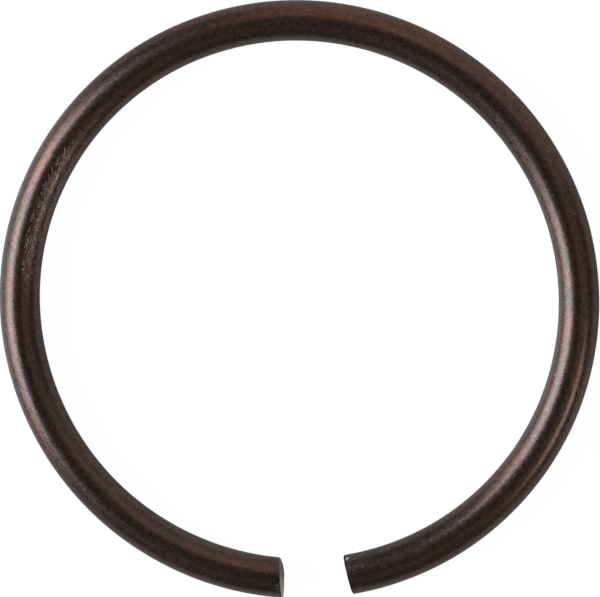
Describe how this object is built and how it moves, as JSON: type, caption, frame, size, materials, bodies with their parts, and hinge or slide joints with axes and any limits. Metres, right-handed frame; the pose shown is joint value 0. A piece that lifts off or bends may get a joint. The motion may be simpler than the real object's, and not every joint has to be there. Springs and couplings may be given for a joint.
{
  "type": "snap ring",
  "caption": "Open retaining ring of round spring wire for a half-round shaft groove, with two sheared ends and a gap between them.",
  "frame": {"origin": "centre of the ring on the middle plane of the wire, so the ring lies with its underside one wire radius below the origin", "axes": "+Z along the ring's axis, which is the shaft's axis; the gap between the cut ends is centred on -Y; both sides of the ring are alike"},
  "size_m": [0.0372, 0.0371, 0.0024],
  "materials": {
    "browned_spring_steel": "dark brown oil-tempered oxide, half gloss, fine drawn lines along the wire"
  },
  "bodies": {
    "root": {"snap_ring": "browned_spring_steel"}
  },
  "joints": []
}
